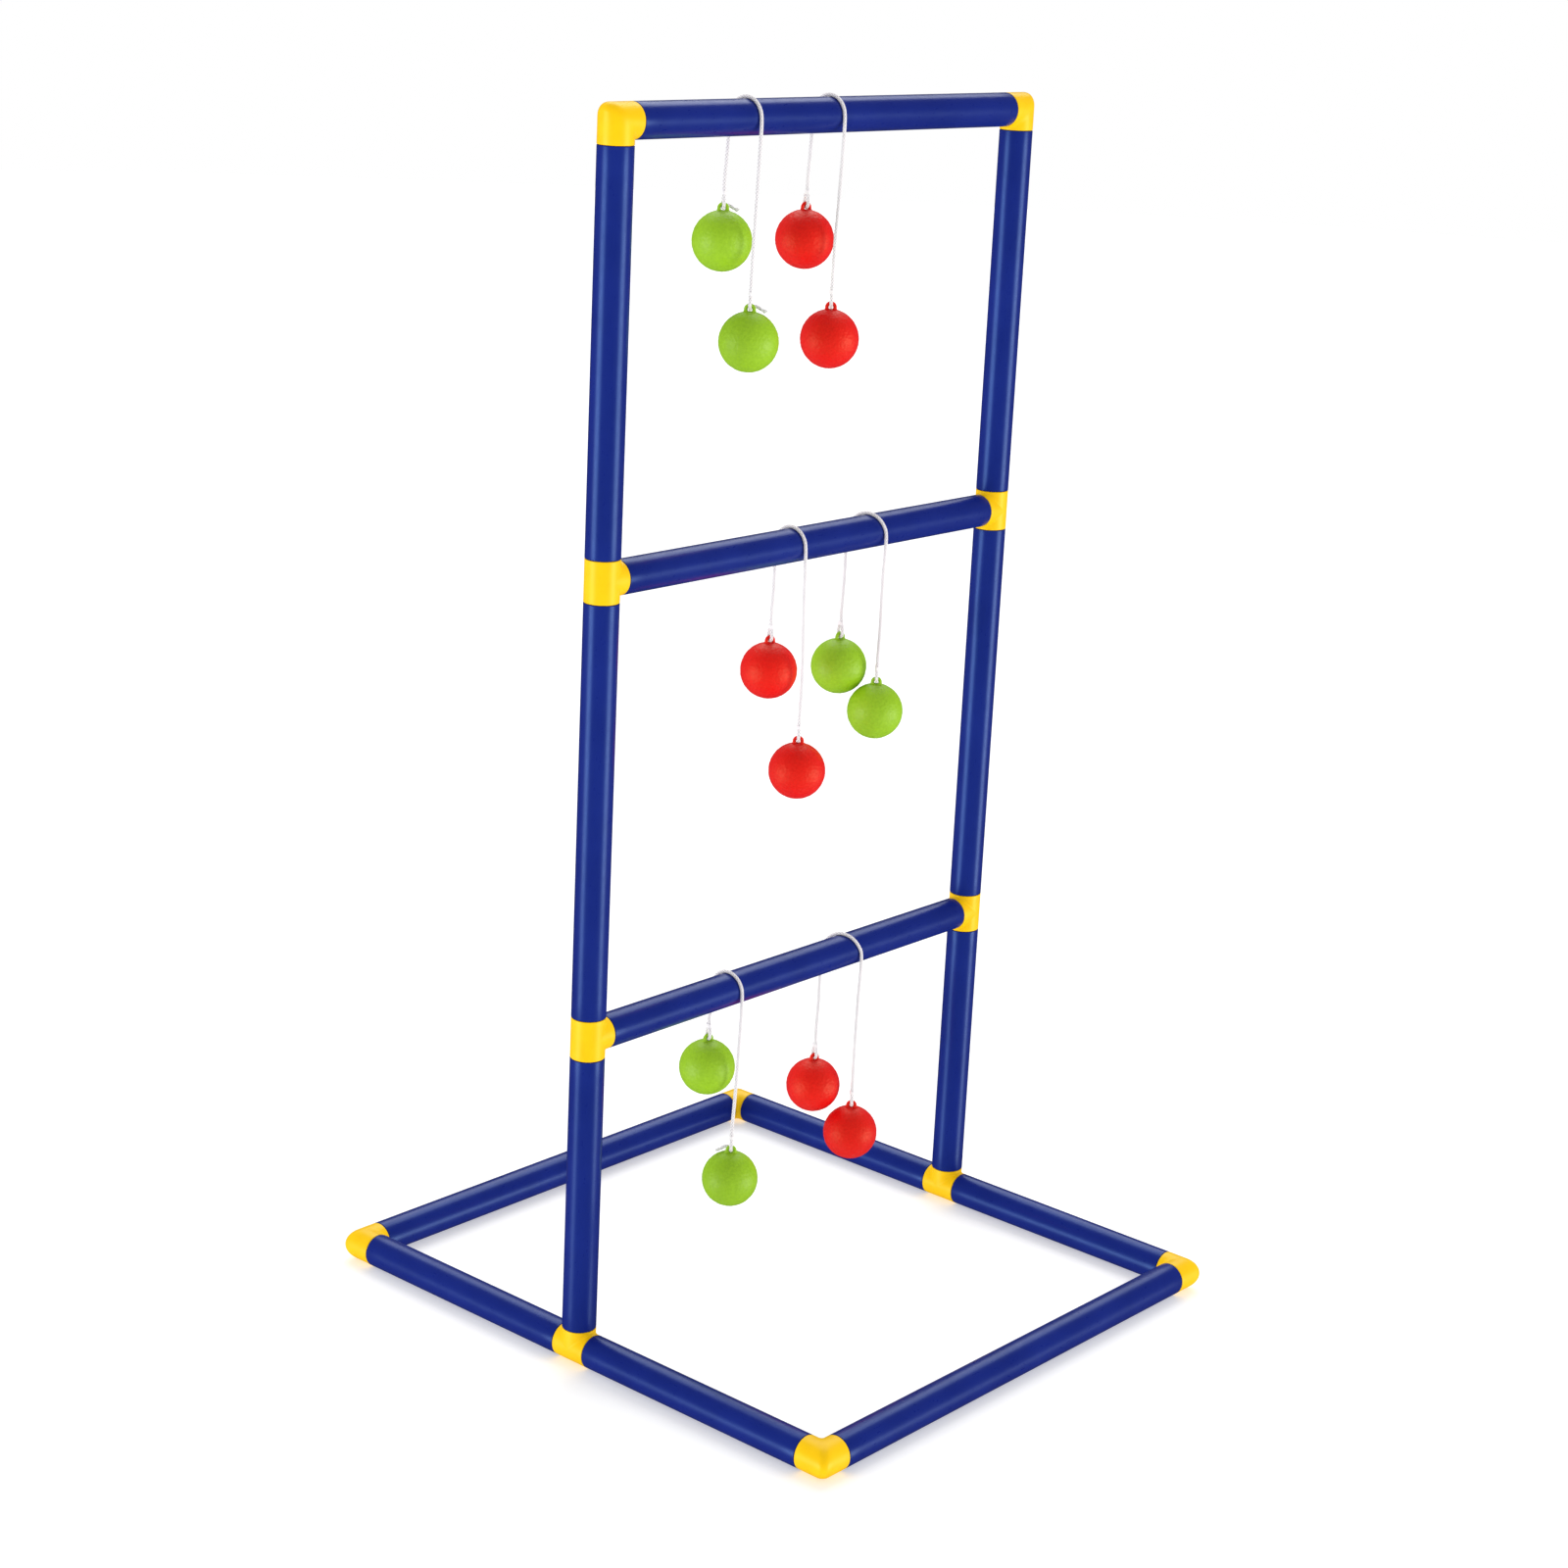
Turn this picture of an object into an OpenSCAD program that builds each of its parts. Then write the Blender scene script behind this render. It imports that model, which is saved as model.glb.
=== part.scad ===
// Ladder toss frame: tubes and push-in fittings make a ladder of three rungs on a rectangular
// base. Six bolas, each two balls on one cord, hang over the rungs.
// Millimetres. +Z is up, X runs along the rungs, Y along the side rails of the base.
// The origin is on the floor, at the centre of the base.

/* [Frame] */
// Distance between the two uprights, axis to axis
frame_width = 430; // [400:5:520]
// Distance between the two end rails of the base, axis to axis
base_depth = 470; // [420:5:600]
// Height of the lower rung above the base, axis to axis
lower_rung_rise = 240; // [220:5:320]
// Height of the middle rung above the lower rung, axis to axis
middle_rung_rise = 330; // [250:5:400]
// Height of the top rung above the middle rung, axis to axis
top_rung_rise = 305; // [240:5:400]

/* [Tubes] */
// Outer diameter of every tube
tube_d = 25; // [22:0.5:28]
// Wall thickness of every tube
tube_wall = 2; // [1.5:0.25:2.5]

/* [Fittings] */
// Distance from the centre of a fitting to the shoulder that a tube butts against
take_off = 15; // [14.5:0.5:20]
// Length of the spigot that plugs into a tube
spigot_length = 25; // [15:1:35]
// Radial gap between a spigot and the tube around it
spigot_gap = 0.05; // [0.02:0.01:0.1]
// Wall thickness of a spigot
spigot_wall = 2; // [1.5:0.25:3]
// Radius of the rounded heel of an elbow, seen square to both of its arms
heel_radius = 6; // [3:0.5:10]

/* [Bolas] */
// Diameter of a ball
ball_d = 42; // [38:0.5:42]
// Wall thickness of the hollow ball
ball_wall = 2; // [1.5:0.25:3]
// Diameter of the cord
cord_d = 2.5; // [2:0.1:2.5]
// Height of the eyelet above the ball
eyelet_height = 5.5; // [5.5:0.25:7]
// Width of the eyelet across its two legs
eyelet_width = 8.4; // [8:0.2:10]
// Thickness of the bar that the eyelet is bent from
eyelet_bar = 2.6; // [2.2:0.1:2.6]

/* [Hidden] */
SIDES = ["left", "right"];
ENDS = ["front", "back"];
RUNGS = ["lower", "middle", "top"];
SECTIONS = ["lower", "middle", "upper"];
BOLAS = [1:6];

$fn = 96;
tube_blue = [0.11, 0.16, 0.51];
fitting_yellow = [1.0, 0.82, 0.0];
ball_green = [0.56, 0.77, 0.12];
ball_red = [0.86, 0.03, 0.06];
cord_white = [0.95, 0.95, 0.95];

tube_r = tube_d / 2;
bore_r = tube_r - tube_wall;
spigot_r = bore_r - spigot_gap;
spigot_bore_r = spigot_r - spigot_wall;
edge = 0.4;         // chamfer on the rims where tubes and fittings meet
nose = 1.2;         // lead-in chamfer on the end of a spigot

base_z = tube_r;
rung_z = [
    base_z + lower_rung_rise,
    base_z + lower_rung_rise + middle_rung_rise,
    base_z + lower_rung_rise + middle_rung_rise + top_rung_rise
];
side_x = [-frame_width / 2, frame_width / 2];
end_y = [-base_depth / 2, base_depth / 2];

ball_r = ball_d / 2;
eyelet_top = ball_r + eyelet_height;
eyelet_bend_r = (eyelet_width - eyelet_bar) / 2;
cord_bite = 0.8;    // how far a cord's end sinks into the bar that it is tied to
cord_gap = 0.3;     // clearance between the cord and the rung under it
cord_sides = 8;
saddle_step = 22.5; // angle between the cord's rings where it bends over the rung

// The cord bends over the rung on an arc. The flats between its rings clear the tube.
saddle_r = (tube_r + cord_gap + cord_d / 2) / cos(saddle_step / 2);

// Each bola: the rung that it hangs on, its colour, the turn of its front and back eyelets, and
// the points [x, z] of its front and back strands, from the rung down to the eyelet.
// z is measured from the rung's axis.
TOP = 2;
MIDDLE = 1;
LOWER = 0;
bolas = [
    [TOP, ball_green, -52, -38,
        [[-89, 0], [-90, -40], [-92, -85], [-93, -125]],
        [[-90, 0], [-92, -30], [-93, -59]]],
    [TOP, ball_red, -50, -18,
        [[-2, 0], [-3, -40], [-6, -90], [-7, -129]],
        [[-3, 0], [-5, -30], [-6, -62]]],
    [MIDDLE, ball_red, -48, -20,
        [[-21, 0], [-20, -40], [-18, -95], [-19, -141]],
        [[-22, 0], [-22, -35], [-23, -70]]],
    [MIDDLE, ball_green, -52, -14,
        [[70, 0], [69, -35], [69, -75], [68, -110]],
        [[59, 0], [58, -40], [57, -79]]],
    [LOWER, ball_green, -50, -20,
        [[-68, 0], [-69, -40], [-71, -80], [-73, -120]],
        [[-70, 0], [-71, -20], [-72, -39]]],
    [LOWER, ball_red, -49, -16,
        [[69, 0], [68, -40], [67, -80], [67, -122]],
        [[55, 0], [54, -45], [53, -87]]]
];

function bola_rung_z(bola) = rung_z[bolas[bola - 1][0]];
function strand(bola, end) = bolas[bola - 1][4 + end];
function strand_foot(bola, end) = strand(bola, end)[len(strand(bola, end)) - 1];

// One strand as 3-D points, from the rung down: end 0 hangs in front of the rung, 1 behind it
function strand_points(bola, end) = [
    for (p = strand(bola, end)) [p[0], (2 * end - 1) * saddle_r, p[1]]
];

// The bend over the rung, between the two strands and without their own first points
function saddle_points(x_front, x_back) = [
    for (a = [saddle_step:saddle_step:180 - saddle_step])
        [x_front + (x_back - x_front) * a / 180, -saddle_r * cos(a), saddle_r * sin(a)]
];

function reversed(list) = [for (i = [len(list) - 1:-1:0]) list[i]];

function cord_route(bola) = concat(
    reversed(strand_points(bola, 0)),
    saddle_points(strand(bola, 0)[0][0], strand(bola, 1)[0][0]),
    strand_points(bola, 1)
);

function unit(v) = v / norm(v);

// Direction of the route at point i, from the point before to the point after
function route_way(route, i) =
    unit(route[min(i + 1, len(route) - 1)] - route[max(i - 1, 0)]);

// A ring of the swept tube at point i, with a flat towards the inside of the bend
function route_ring(route, i) =
    let (
        way = route_way(route, i),
        out = unit(cross(way, [1, 0, 0])),
        across = cross(way, out)
    )
    [for (k = [0:cord_sides - 1])
        let (a = (k + 0.5) * 360 / cord_sides)
        route[i] + cord_d / 2 * (cos(a) * out + sin(a) * across)];

// A closed tube of cord_sides sides that follows the route's points
module swept_cord(route) {
    rings = len(route);
    points = [for (i = [0:rings - 1]) each route_ring(route, i)];
    sides = [
        for (i = [0:rings - 2], k = [0:cord_sides - 1])
            let (
                a = i * cord_sides + k,
                b = i * cord_sides + (k + 1) % cord_sides
            )
            each [[a, b, b + cord_sides], [a, b + cord_sides, a + cord_sides]]
    ];
    first_cap = [for (k = [cord_sides - 1:-1:0]) k];
    last_cap = [for (k = [0:cord_sides - 1]) (rings - 1) * cord_sides + k];
    polyhedron(points, concat(sides, [first_cap, last_cap]), convexity = 6);
}

// A tube along +Z between two fittings whose centres are "span" apart, from the first centre
module tube(span) {
    bottom = take_off;
    top = span - take_off;
    color(tube_blue)
        rotate_extrude()
            polygon([
                [bore_r, bottom],
                [tube_r - edge, bottom],
                [tube_r, bottom + edge],
                [tube_r, top - edge],
                [tube_r - edge, top],
                [bore_r, top]
            ]);
}

// One arm of a fitting, along +Z: the sleeve as wide as a tube, then the spigot.
// It starts "behind" the fitting's centre.
module arm(behind) {
    spigot_end = take_off + spigot_length;
    rotate_extrude()
        polygon([
            [0, -behind],
            [tube_r, -behind],
            [tube_r, take_off - edge],
            [tube_r - edge, take_off],
            [spigot_r, take_off],
            [spigot_r, spigot_end - nose],
            [spigot_r - nose, spigot_end],
            [0, spigot_end]
        ]);
}

// The hollow inside one arm, along +Z, open at the end of the spigot
module arm_bore() {
    cylinder(r = spigot_bore_r, h = take_off + spigot_length + 1);
}

// The half of an elbow that points along +Z, cut off at the mitre plane x = z
module mitred_arm() {
    big = 4 * (take_off + spigot_length);
    intersection() {
        arm(tube_r);
        rotate([0, -45, 0])
            translate([-big / 2, -big / 2, 0])
                cube(big);
    }
}

// The outline that rounds an elbow's heel, in X and Y with the heel at the lower left
module heel_outline() {
    reach = tube_r + take_off + spigot_length + 1;
    difference() {
        translate([-tube_r, -tube_r])
            square(reach);
        translate([-tube_r, -tube_r])
            difference() {
                square(heel_radius);
                translate([heel_radius, heel_radius])
                    circle(heel_radius);
            }
    }
}

// An elbow with one arm along +X and one along +Z
module elbow() {
    color(fitting_yellow)
        difference() {
            intersection() {
                union() {
                    mitred_arm();
                    mirror([1, 0, -1])
                        mitred_arm();
                }
                rotate([90, 0, 0])
                    linear_extrude(2 * tube_d, center = true)
                        heel_outline();
            }
            sphere(spigot_bore_r);
            arm_bore();
            rotate([0, 90, 0])
                arm_bore();
        }
}

// A tee with its run along Z and its branch along +X
module tee() {
    color(fitting_yellow)
        difference() {
            union() {
                arm(0);
                mirror([0, 0, 1])
                    arm(0);
                rotate([0, 90, 0])
                    arm(0);
            }
            arm_bore();
            mirror([0, 0, 1])
                arm_bore();
            rotate([0, 90, 0])
                arm_bore();
        }
}

// Turns what faces +X so that it faces the inside of the frame from the given side
module inward(side) {
    mirror([side, 0, 0])
        children();
}

module rung(level) {
    translate([side_x[0], 0, rung_z[level]])
        rotate([0, 90, 0])
            tube(frame_width);
}

module upright(side, section) {
    bottom = section == 0 ? base_z : rung_z[section - 1];
    translate([side_x[side], 0, bottom])
        tube(rung_z[section] - bottom);
}

module side_rail(side, end) {
    translate([side_x[side], end == 0 ? end_y[0] : 0, base_z])
        rotate([-90, 0, 0])
            tube(base_depth / 2);
}

module end_rail(end) {
    translate([side_x[0], end_y[end], base_z])
        rotate([0, 90, 0])
            tube(frame_width);
}

// A corner of the base joins an end rail along X to a side rail along Y
module corner(side, end) {
    translate([side_x[side], end_y[end], base_z])
        inward(side)
            mirror([0, end, 0])
                rotate([-90, 0, 0])
                    elbow();
}

// A base tee carries an upright on the side rail
module base_tee(side) {
    translate([side_x[side], 0, base_z])
        rotate([0, 0, 90])
            rotate([0, -90, 0])
                tee();
}

module rung_tee(side, level) {
    translate([side_x[side], 0, rung_z[level]])
        inward(side)
            tee();
}

// A top elbow turns the upright into the top rung
module top_elbow(side) {
    translate([side_x[side], 0, rung_z[TOP]])
        inward(side)
            mirror([0, 0, 1])
                elbow();
}

// The eyelet stands on top of a ball centred at the origin, with its hole along Y
module eyelet() {
    bend_z = eyelet_top - eyelet_bar / 2 - eyelet_bend_r;
    root_z = ball_r - ball_wall / 2;
    translate([0, 0, bend_z])
        rotate([90, 0, 0])
            rotate_extrude(angle = 180)
                translate([eyelet_bend_r, 0])
                    circle(d = eyelet_bar, $fn = 32);
    for (x = [-eyelet_bend_r, eyelet_bend_r])
        translate([x, 0, root_z])
            cylinder(d = eyelet_bar, h = bend_z - root_z, $fn = 32);
}

module ball(bola, end) {
    foot = strand_foot(bola, end);
    centre_z = bola_rung_z(bola) + foot[1] + cord_bite - eyelet_top;
    color(bolas[bola - 1][1])
        translate([foot[0], (2 * end - 1) * saddle_r, centre_z])
            rotate([0, 0, bolas[bola - 1][2 + end]])
                difference() {
                    union() {
                        rotate([0, 0, 90])
                            sphere(ball_r);
                        eyelet();
                    }
                    sphere(ball_r - ball_wall);
                }
}

module cord(bola) {
    color(cord_white)
        translate([0, 0, bola_rung_z(bola)])
            swept_cord(cord_route(bola));
}

for (level = [0:2])
    rung(level);

for (side = [0, 1], section = [0:2])
    upright(side, section);

for (side = [0, 1], end = [0, 1])
    side_rail(side, end);

for (end = [0, 1])
    end_rail(end);

for (side = [0, 1], end = [0, 1])
    corner(side, end);

for (side = [0, 1])
    base_tee(side);

for (side = [0, 1], level = [0, 1])
    rung_tee(side, level);

for (side = [0, 1])
    top_elbow(side);

for (bola = BOLAS)
    cord(bola);

for (bola = BOLAS, end = [0, 1])
    ball(bola, end);
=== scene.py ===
"""Looks of the ladder toss frame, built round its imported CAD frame.

Metres, +Z up, X along the rungs, Y along the side rails of the base. Every tube, fitting, ball and
cord gets a detailed piece in place of its plain CAD node.
"""

import math

import bmesh
import bpy
import numpy as np
from mathutils import Matrix, Quaternion, Vector, noise


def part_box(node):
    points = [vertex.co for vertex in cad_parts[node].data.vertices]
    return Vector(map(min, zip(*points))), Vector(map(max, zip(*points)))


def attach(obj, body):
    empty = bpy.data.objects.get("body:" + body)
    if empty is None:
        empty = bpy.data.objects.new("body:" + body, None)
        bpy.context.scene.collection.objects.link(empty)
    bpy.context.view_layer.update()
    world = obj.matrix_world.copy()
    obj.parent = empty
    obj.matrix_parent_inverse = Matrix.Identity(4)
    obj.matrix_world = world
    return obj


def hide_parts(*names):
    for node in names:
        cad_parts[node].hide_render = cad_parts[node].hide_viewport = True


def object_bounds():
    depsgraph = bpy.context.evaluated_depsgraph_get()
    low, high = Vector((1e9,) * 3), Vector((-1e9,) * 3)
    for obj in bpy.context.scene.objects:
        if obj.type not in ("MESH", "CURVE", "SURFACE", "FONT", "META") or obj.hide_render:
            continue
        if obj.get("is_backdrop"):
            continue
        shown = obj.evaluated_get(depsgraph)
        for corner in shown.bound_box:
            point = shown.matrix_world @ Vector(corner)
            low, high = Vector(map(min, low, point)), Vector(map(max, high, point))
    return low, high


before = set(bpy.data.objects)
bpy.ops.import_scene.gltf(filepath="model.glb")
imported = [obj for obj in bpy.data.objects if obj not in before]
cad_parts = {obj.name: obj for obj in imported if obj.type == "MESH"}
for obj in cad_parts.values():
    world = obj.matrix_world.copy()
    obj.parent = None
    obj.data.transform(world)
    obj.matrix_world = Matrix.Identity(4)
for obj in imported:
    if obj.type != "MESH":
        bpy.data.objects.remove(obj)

CAD_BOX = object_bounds()
MM = 0.001


# ---------------------------------------------------------------- sizes, from the frame

def middle(node):
    """The middle of a CAD node's box."""
    low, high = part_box(node)
    return (Vector(low) + Vector(high)) / 2


def extent(node):
    """The three sides of a CAD node's box."""
    low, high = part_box(node)
    return Vector(high) - Vector(low)


LOWER, MIDDLE, TOP = "lower", "middle", "top"
SIDES = ("left", "right")
ENDS = ("front", "back")
RUNGS = (LOWER, MIDDLE, TOP)
SECTIONS = ("lower", "middle", "upper")

TUBE_LENGTH = extent("rung_top").x           # of a rung or an end rail
TUBE_R = extent("rung_top").z / 2
SIDE_X = {side: middle(f"upright_{side}_lower").x for side in SIDES}
END_Y = {end: middle(f"end_rail_{end}").y for end in ENDS}
RUNG_Z = {rung: middle(f"rung_{rung}").z for rung in RUNGS}
BASE_Z = middle("end_rail_front").z
TAKE_OFF = -SIDE_X["left"] - TUBE_LENGTH / 2  # from a fitting's centre to its shoulder

TUBE_WALL = 2.0 * MM
RIM = 0.5 * MM              # rounding of the rims where tubes and fittings meet
INNER_RIM = 0.3 * MM        # and of a tube's inner edge
SEAM = 0.3 * MM             # the gap left between a tube's end and the fitting's shoulder
SPIGOT_GAP = 0.05 * MM      # between a spigot and its tube, all round
SPIGOT_LENGTH = 25.0 * MM
SPIGOT_WALL = 2.0 * MM
SPIGOT_NOSE = 1.2 * MM      # length of the taper at its tip
HEEL_R = 6.0 * MM           # rounding of an elbow's heel
HOLLOW_BEND_R = 1.0 * MM    # and of the bend in its hollow
PARTING_H = 0.06 * MM       # height of the moulding's raised parting line
PARTING_W = 0.22 * MM       # and its half width

BALL_R = 21.0 * MM
EYELET_HEIGHT = 5.5 * MM
EYELET_BAR_R = 1.3 * MM
EYELET_BEND_R = 2.9 * MM    # of the bar's axis over the hole
EYELET_FILLET = 1.3 * MM    # where the eyelet runs into the ball
EYELET_TOP = BALL_R + EYELET_HEIGHT
BAR_Z = EYELET_TOP - EYELET_BAR_R          # axis of the eyelet's bar, above the ball's centre

CORD_D = 2.5 * MM
CORD_R = CORD_D / 2
CORD_REST = 0.15 * MM       # gap left under the cord where it lies on the rung

# Each bola: its rung, the slot of its balls, the turn of its front and back eyelets in degrees,
# and the points (x, z) of its front and back strands from the rung down, z from the rung's axis.
BOLAS = {
    1: (TOP, "ball_green", -52, -38,
        [(-0.089, 0), (-0.090, -0.040), (-0.092, -0.085), (-0.093, -0.125)],
        [(-0.090, 0), (-0.092, -0.030), (-0.093, -0.059)]),
    2: (TOP, "ball_red", -50, -18,
        [(-0.002, 0), (-0.003, -0.040), (-0.006, -0.090), (-0.007, -0.129)],
        [(-0.003, 0), (-0.005, -0.030), (-0.006, -0.062)]),
    3: (MIDDLE, "ball_red", -48, -20,
        [(-0.021, 0), (-0.020, -0.040), (-0.018, -0.095), (-0.019, -0.141)],
        [(-0.022, 0), (-0.022, -0.035), (-0.023, -0.070)]),
    4: (MIDDLE, "ball_green", -52, -14,
        [(0.070, 0), (0.069, -0.035), (0.069, -0.075), (0.068, -0.110)],
        [(0.059, 0), (0.058, -0.040), (0.057, -0.079)]),
    5: (LOWER, "ball_green", -50, -20,
        [(-0.068, 0), (-0.069, -0.040), (-0.071, -0.080), (-0.073, -0.120)],
        [(-0.070, 0), (-0.071, -0.020), (-0.072, -0.039)]),
    6: (LOWER, "ball_red", -49, -16,
        [(0.069, 0), (0.068, -0.040), (0.067, -0.080), (0.067, -0.122)],
        [(0.055, 0), (0.054, -0.045), (0.053, -0.087)]),
}


# ---------------------------------------------------------------- camera

def make_camera():
    """A long lens from the front left, a little above the middle rung, rolled by a few degrees."""
    location = Vector((-1.662, -1.415, 1.031))
    target = Vector((-0.016, 0.0, 0.4015))
    roll = math.radians(2.8)
    data = bpy.data.cameras.new("camera")
    data.lens = 70.0
    data.sensor_width = 36.0
    data.clip_end = 60.0
    camera = bpy.data.objects.new("camera", data)
    aim = (target - location).to_track_quat("-Z", "Y")
    camera.location = location
    camera.rotation_euler = (aim @ Quaternion((0, 0, 1), roll)).to_euler()
    bpy.context.collection.objects.link(camera)
    bpy.context.scene.camera = camera


# ---------------------------------------------------------------- mesh building

def make_piece(name, verts, faces, material, groove_shade=None, smooth_angle=50):
    """A mesh object from arrays in metres, with its faces turned outwards.

    groove is how deep each vertex lies between a braid's strands, from 0 to 1, kept as an attribute
    by which the cord's colour is darkened as painted shade.
    """
    mesh = bpy.data.meshes.new(name)
    mesh.from_pydata(np.asarray(verts).tolist(), [], [list(map(int, f)) for f in faces])
    if groove_shade is not None:
        layer = mesh.attributes.new("groove_shade", "FLOAT", "POINT")
        layer.data.foreach_set("value", np.asarray(groove_shade, dtype=np.float32))
    work = bmesh.new()
    work.from_mesh(mesh)
    bmesh.ops.remove_doubles(work, verts=work.verts, dist=1e-6)
    bmesh.ops.dissolve_degenerate(work, edges=work.edges, dist=1e-7)
    bmesh.ops.recalc_face_normals(work, faces=work.faces)
    work.to_mesh(mesh)
    work.free()
    mesh.polygons.foreach_set("use_smooth", [True] * len(mesh.polygons))
    mesh.set_sharp_from_angle(angle=math.radians(smooth_angle))
    mesh.materials.append(material)
    piece = bpy.data.objects.new(name, mesh)
    bpy.context.collection.objects.link(piece)
    return piece


def grid_faces(rows, cols, first=0, wrap_rows=False, wrap_cols=False):
    """Quads of a grid of rows x cols vertices whose first index is given."""
    r = np.arange(rows if wrap_rows else rows - 1)[:, None]
    c = np.arange(cols if wrap_cols else cols - 1)[None, :]
    r2 = (r + 1) % rows
    c2 = (c + 1) % cols
    quads = np.stack([r * cols + c, r * cols + c2, r2 * cols + c2, r2 * cols + c], axis=-1)
    return (quads.reshape(-1, 4) + first).tolist()


def arc(centre, radius, start, end, steps):
    """Points (u, v) on an arc, angles in degrees."""
    angles = np.radians(np.linspace(start, end, steps + 1))
    return [(centre[0] + radius * math.cos(a), centre[1] + radius * math.sin(a)) for a in angles]


def spread(start, end, steps):
    """Evenly spaced numbers from start to end, without the two ends."""
    return list(np.linspace(start, end, steps + 1)[1:-1])


def axes_matrix(x_axis, z_axis):
    """The matrix whose columns send local X and Z to two world directions."""
    x_axis, z_axis = np.array(x_axis, float), np.array(z_axis, float)
    return np.stack([x_axis, np.cross(z_axis, x_axis), z_axis], axis=1)


# ---------------------------------------------------------------- tubes

AROUND = 96                 # faces round a tube or a fitting
MARKS_STEP = 0.37           # metres along the noise from one tube's marks to the next one's


def tube_profile(length):
    """A closed outline (radius, height) of a tube's wall with rounded rims."""
    bore_r = TUBE_R - TUBE_WALL
    straight = max(4, round(length / (12 * MM)))
    outline = arc((bore_r + INNER_RIM, INNER_RIM), INNER_RIM, 180, 270, 3)
    outline += arc((TUBE_R - RIM, RIM), RIM, -90, 0, 5)
    outline += [(TUBE_R, z) for z in spread(RIM, length - RIM, straight)]
    outline += arc((TUBE_R - RIM, length - RIM), RIM, 0, 90, 5)
    outline += arc((bore_r + INNER_RIM, length - INNER_RIM), INNER_RIM, 90, 180, 3)
    outline += [(bore_r, z) for z in spread(length - INNER_RIM, INNER_RIM, straight)]
    return np.array(outline)


def make_tube(node, start, direction, length, material):
    """A blue tube in place of a CAD tube, from start along a direction."""
    outline = tube_profile(length - 2 * SEAM)
    turn = np.linspace(0, 2 * math.pi, AROUND, endpoint=False)
    radius, height = outline[:, 0][:, None], outline[:, 1][:, None]
    # Each tube starts elsewhere along its own Z, so no two carry the same marks
    shift = MARKS_STEP * (1 + sorted(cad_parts).index(node))
    local = np.stack([
        radius * np.cos(turn),
        radius * np.sin(turn),
        np.broadcast_to(height + shift, (len(outline), AROUND)),
    ], axis=-1)
    faces = grid_faces(len(outline), AROUND, wrap_rows=True, wrap_cols=True)
    piece = make_piece(f"tube_{node}", local.reshape(-1, 3), faces, material)
    side = (0, 0, 1) if abs(direction[2]) < 0.5 else (1, 0, 0)
    turned = Matrix(axes_matrix(side, direction).tolist()).to_4x4()
    first_ring = Vector(start) + (SEAM - shift) * Vector(direction)
    piece.matrix_world = Matrix.Translation(first_ring) @ turned
    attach(piece, "frame")
    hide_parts(node)


def make_tubes(material):
    """The rungs, the end rails, the upright sections and the side rail halves."""
    left_shoulder = SIDE_X["left"] + TAKE_OFF
    for rung in RUNGS:
        start = (left_shoulder, 0, RUNG_Z[rung])
        make_tube(f"rung_{rung}", start, (1, 0, 0), TUBE_LENGTH, material)
    for end in ENDS:
        start = (left_shoulder, END_Y[end], BASE_Z)
        make_tube(f"end_rail_{end}", start, (1, 0, 0), TUBE_LENGTH, material)
    for side in SIDES:
        for section in SECTIONS:
            node = f"upright_{side}_{section}"
            start = (SIDE_X[side], 0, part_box(node)[0][2])
            make_tube(node, start, (0, 0, 1), extent(node).z, material)
        for end in ENDS:
            node = f"side_rail_{side}_{end}"
            start = (SIDE_X[side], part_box(node)[0][1], BASE_Z)
            make_tube(node, start, (0, 1, 0), extent(node).y, material)


# ---------------------------------------------------------------- fittings

BORE_R = TUBE_R - TUBE_WALL
SPIGOT_R = BORE_R - SPIGOT_GAP
HOLLOW_R = SPIGOT_R - SPIGOT_WALL
SPIGOT_END = TAKE_OFF + SPIGOT_LENGTH


def arm_outline():
    """(distance from the fitting's centre, radius) down one arm, from its tip to its sleeve."""
    tip = [(SPIGOT_END, HOLLOW_R), (SPIGOT_END, SPIGOT_R - SPIGOT_NOSE)]
    spigot = [(s, SPIGOT_R) for s in np.linspace(SPIGOT_END - SPIGOT_NOSE, TAKE_OFF, 6)]
    rim = arc((TAKE_OFF - RIM, TUBE_R - RIM), RIM, 90, 0, 5)[::-1]
    return tip + spigot + rim


def corner_radius(turn, tee):
    """Rounding between two arms at a place round them: the crook is at turn 0, the heel at pi."""
    crook = TAKE_OFF - RIM - TUBE_R
    if tee:
        return crook * max(math.cos(turn), 0.0)
    return HEEL_R + (crook - HEEL_R) * (1 + math.cos(turn)) / 2


def bent_line(turn, arm, radius, rounding, straight=5, bend=8):
    """One line of the skin, from the tip of the +Z arm round the bend to the tip of the +X arm.

    The two arms meet at the mitre plane x = z, and an arc of the given rounding joins them there.
    """
    cosine, sine = math.cos(turn), math.sin(turn)
    corner = radius * cosine
    sleeve_end = arm[-1][0]
    down = [(r * cosine, r * sine, s) for s, r in arm]
    down += [(corner, radius * sine, s) for s in spread(sleeve_end, corner + rounding, straight)]
    across = [(s, y, x) for x, y, s in reversed(down)]
    centre = corner + rounding
    turned = [(u, radius * sine, v) for u, v in arc((centre, centre), rounding, 180, 270, bend)]
    return down + turned + across


def straight_line(turn, arm, radius, straight=5):
    """One line of a tee's skin behind its branch, from the +Z tip to the -Z tip."""
    cosine, sine = math.cos(turn), math.sin(turn)
    sleeve_end = arm[-1][0]
    down = [(r * cosine, r * sine, s) for s, r in arm]
    down += [(radius * cosine, radius * sine, s) for s in spread(sleeve_end, 0, straight)]
    centre = [(radius * cosine, radius * sine, 0)]
    up = [(x, y, -s) for x, y, s in reversed(down)]
    return down + centre + up


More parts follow.
